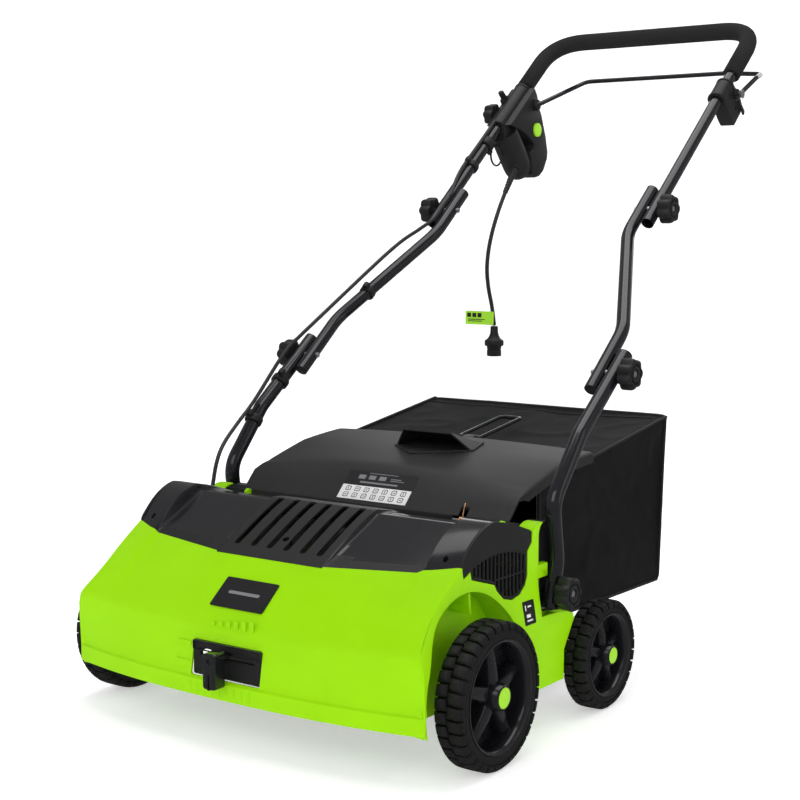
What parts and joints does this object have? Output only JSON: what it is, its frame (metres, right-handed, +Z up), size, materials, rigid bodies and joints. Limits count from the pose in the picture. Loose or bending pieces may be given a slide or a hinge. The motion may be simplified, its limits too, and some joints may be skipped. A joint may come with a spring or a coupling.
{
  "type": "lawn dethatcher",
  "caption": "Walk-behind electric lawn dethatcher with a powered tine reel, cutting-depth lever, lifting rear flap, detachable grass bag, folding handle and switch bail",
  "frame": {"origin": "middle of the ground area under the whole machine, on the ground", "axes": "+X to the machine's right as seen from the front, +Y from the front shell back to the handle grip, +Z up"},
  "size_m": [0.66, 1.189, 1.0131],
  "materials": {
    "green_shell": "moulded, satin gloss",
    "black_plastic": "moulded, fine grain",
    "gloss_black_plastic": "moulded, glossy",
    "black_tube": "glossy black powder coat",
    "zinc_steel": "zinc plated",
    "spring_steel": "copper-coloured spring wire",
    "tyre_rubber": "matt with moulded tread",
    "foam": "soft foam, matt",
    "cable_rubber": "satin sheath",
    "bag_fabric": "woven polyester",
    "lime_plastic": "moulded, satin"
  },
  "bodies": {
    "chassis": {"front_shell": "green_shell", "motor_cover": "gloss_black_plastic", "side_grille_left": "black_plastic", "side_grille_right": "black_plastic", "lever_bezel": "black_plastic", "side_plate_left": "zinc_steel", "side_plate_right": "zinc_steel", "reel_hood": "black_plastic", "motor": "black_plastic", "hinge_rail": "green_shell", "flap_hinge_rod": "zinc_steel", "handle_bracket_left": "black_plastic", "handle_bracket_right": "black_plastic", "drive_belt": "cable_rubber", "reel_bearing_left": "zinc_steel", "reel_bearing_right": "zinc_steel", "rear_axle": "zinc_steel"},
    "reel": {"reel_shaft": "zinc_steel", "tine_reel": "zinc_steel", "reel_pulley": "zinc_steel"},
    "motor_rotor": {"motor_shaft_pulley": "zinc_steel"},
    "depth_control": {"depth_lever": "black_plastic", "depth_cam_bar": "zinc_steel"},
    "front_carriage": {"axle_carriage": "zinc_steel", "front_axle": "zinc_steel"},
    "front_wheel_left": {"front_wheel_left_tyre": "tyre_rubber", "front_wheel_left_rim": "gloss_black_plastic"},
    "front_wheel_right": {"front_wheel_right_tyre": "tyre_rubber", "front_wheel_right_rim": "gloss_black_plastic"},
    "rear_wheel_left": {"rear_wheel_left_tyre": "tyre_rubber", "rear_wheel_left_rim": "gloss_black_plastic"},
    "rear_wheel_right": {"rear_wheel_right_tyre": "tyre_rubber", "rear_wheel_right_rim": "gloss_black_plastic"},
    "flap": {"rear_flap": "black_plastic", "flap_spring": "spring_steel"},
    "bag": {"grass_bag": "bag_fabric", "bag_frame": "zinc_steel"},
    "bag_grip": {"bag_handle": "black_tube"},
    "lower_handle": {"lower_tube_left": "black_tube", "lower_tube_right": "black_tube", "motor_cable_lower": "cable_rubber"},
    "mid_handle": {"mid_tube_left": "black_tube", "mid_tube_right": "black_tube", "motor_cable_mid": "cable_rubber"},
    "upper_frame": {"upper_handle": "black_tube", "foam_grip": "foam", "switch_box": "black_plastic", "bail_bracket": "black_plastic", "motor_cable_upper": "cable_rubber", "power_cord": "cable_rubber", "cord_sleeve": "cable_rubber", "plug": "black_plastic"},
    "bail": {"bail_bar": "black_tube"},
    "button": {"safety_button": "lime_plastic"},
    "bracket_knob_left": {"bracket_knob_left": "black_plastic"},
    "fold_knob_left": {"fold_knob_left": "black_plastic"},
    "grip_knob_left": {"grip_knob_left": "black_plastic"},
    "bracket_knob_right": {"bracket_knob_right": "black_plastic"},
    "fold_knob_right": {"fold_knob_right": "black_plastic"},
    "grip_knob_right": {"grip_knob_right": "black_plastic"}
  },
  "joints": [
    {"name": "front_wheel_left_spin", "type": "hinge", "parent": "front_carriage", "child": "front_wheel_left", "pos_m": [-0.306, -0.4295, 0.0925], "axis": [1, 0, 0], "continuous": true},
    {"name": "rear_wheel_left_spin", "type": "hinge", "parent": "chassis", "child": "rear_wheel_left", "pos_m": [-0.295, -0.1275, 0.0757], "axis": [1, 0, 0], "continuous": true},
    {"name": "front_wheel_right_spin", "type": "hinge", "parent": "front_carriage", "child": "front_wheel_right", "pos_m": [0.306, -0.4295, 0.0925], "axis": [1, 0, 0], "continuous": true},
    {"name": "rear_wheel_right_spin", "type": "hinge", "parent": "chassis", "child": "rear_wheel_right", "pos_m": [0.295, -0.1275, 0.0757], "axis": [1, 0, 0], "continuous": true},
    {"name": "reel_spin", "type": "hinge", "parent": "chassis", "child": "reel", "pos_m": [0, -0.2995, 0.088], "axis": [1, 0, 0], "continuous": true},
    {"name": "motor_spin", "type": "hinge", "parent": "chassis", "child": "motor_rotor", "pos_m": [0, -0.3845, 0.238], "axis": [1, 0, 0], "continuous": true},
    {"name": "depth_lever_slide", "type": "slide", "parent": "chassis", "child": "depth_control", "axis": [1, 0, 0], "range_m": [-0.036, 0.036]},
    {"name": "front_axle_height", "type": "slide", "parent": "chassis", "child": "front_carriage", "axis": [0, 0, 1], "range_m": [-0.008, 0.008]},
    {"name": "flap_lift", "type": "hinge", "parent": "chassis", "child": "flap", "pos_m": [0, -0.264, 0.2665], "axis": [1, 0, 0], "range_deg": [0, 55], "stiffness_Nm_per_rad": 0.3, "springref_deg": -34.38},
    {"name": "bag_slide", "type": "slide", "parent": "chassis", "child": "bag", "axis": [0, 0.9848, 0.1736], "range_m": [0, 0.2]},
    {"name": "bag_handle_lift", "type": "hinge", "parent": "bag", "child": "bag_grip", "pos_m": [0, -0.0065, 0.341], "axis": [1, 0, 0], "range_deg": [0, 85]},
    {"name": "lower_handle_tilt", "type": "hinge", "parent": "chassis", "child": "lower_handle", "pos_m": [0, -0.237, 0.182], "axis": [1, 0, 0], "range_deg": [0, 8], "deforming": ["motor_cable_lower"]},
    {"name": "mid_handle_fold", "type": "hinge", "parent": "lower_handle", "child": "mid_handle", "pos_m": [0, -0.0715, 0.459], "axis": [1, 0, 0], "range_deg": [0, 120], "deforming": ["motor_cable_mid"]},
    {"name": "upper_handle_fold", "type": "hinge", "parent": "mid_handle", "child": "upper_frame", "pos_m": [0, 0.206, 0.6885], "axis": [1, 0, 0], "range_deg": [-60, 0], "deforming": ["motor_cable_upper"]},
    {"name": "bail_squeeze", "type": "hinge", "parent": "upper_frame", "child": "bail", "pos_m": [0, 0.4655, 0.88], "axis": [1, 0, 0], "range_deg": [0, 18], "stiffness_Nm_per_rad": 0.6, "springref_deg": -57.3},
    {"name": "safety_button_press", "type": "slide", "parent": "upper_frame", "child": "button", "axis": [-1, 0, 0], "range_m": [0, 0.003], "stiffness_N_per_m": 600, "springref_m": -0.002},
    {"name": "bracket_knob_left_turn", "type": "hinge", "parent": "chassis", "child": "bracket_knob_left", "pos_m": [-0.3055, -0.237, 0.182], "axis": [1, 0, 0], "continuous": true},
    {"name": "fold_knob_left_turn", "type": "hinge", "parent": "lower_handle", "child": "fold_knob_left", "pos_m": [-0.3055, -0.0715, 0.459], "axis": [1, 0, 0], "continuous": true},
    {"name": "grip_knob_left_turn", "type": "hinge", "parent": "mid_handle", "child": "grip_knob_left", "pos_m": [-0.223, 0.206, 0.6885], "axis": [1, 0, 0], "continuous": true},
    {"name": "bracket_knob_right_turn", "type": "hinge", "parent": "chassis", "child": "bracket_knob_right", "pos_m": [0.3055, -0.237, 0.182], "axis": [1, 0, 0], "continuous": true},
    {"name": "fold_knob_right_turn", "type": "hinge", "parent": "lower_handle", "child": "fold_knob_right", "pos_m": [0.3055, -0.0715, 0.459], "axis": [1, 0, 0], "continuous": true},
    {"name": "grip_knob_right_turn", "type": "hinge", "parent": "mid_handle", "child": "grip_knob_right", "pos_m": [0.223, 0.206, 0.6885], "axis": [1, 0, 0], "continuous": true}
  ],
  "couplings": [
    {"joint": "motor_spin", "follows": "reel_spin", "ratio": 2.4286},
    {"joint": "front_axle_height", "follows": "depth_lever_slide", "ratio": -0.222}
  ]
}
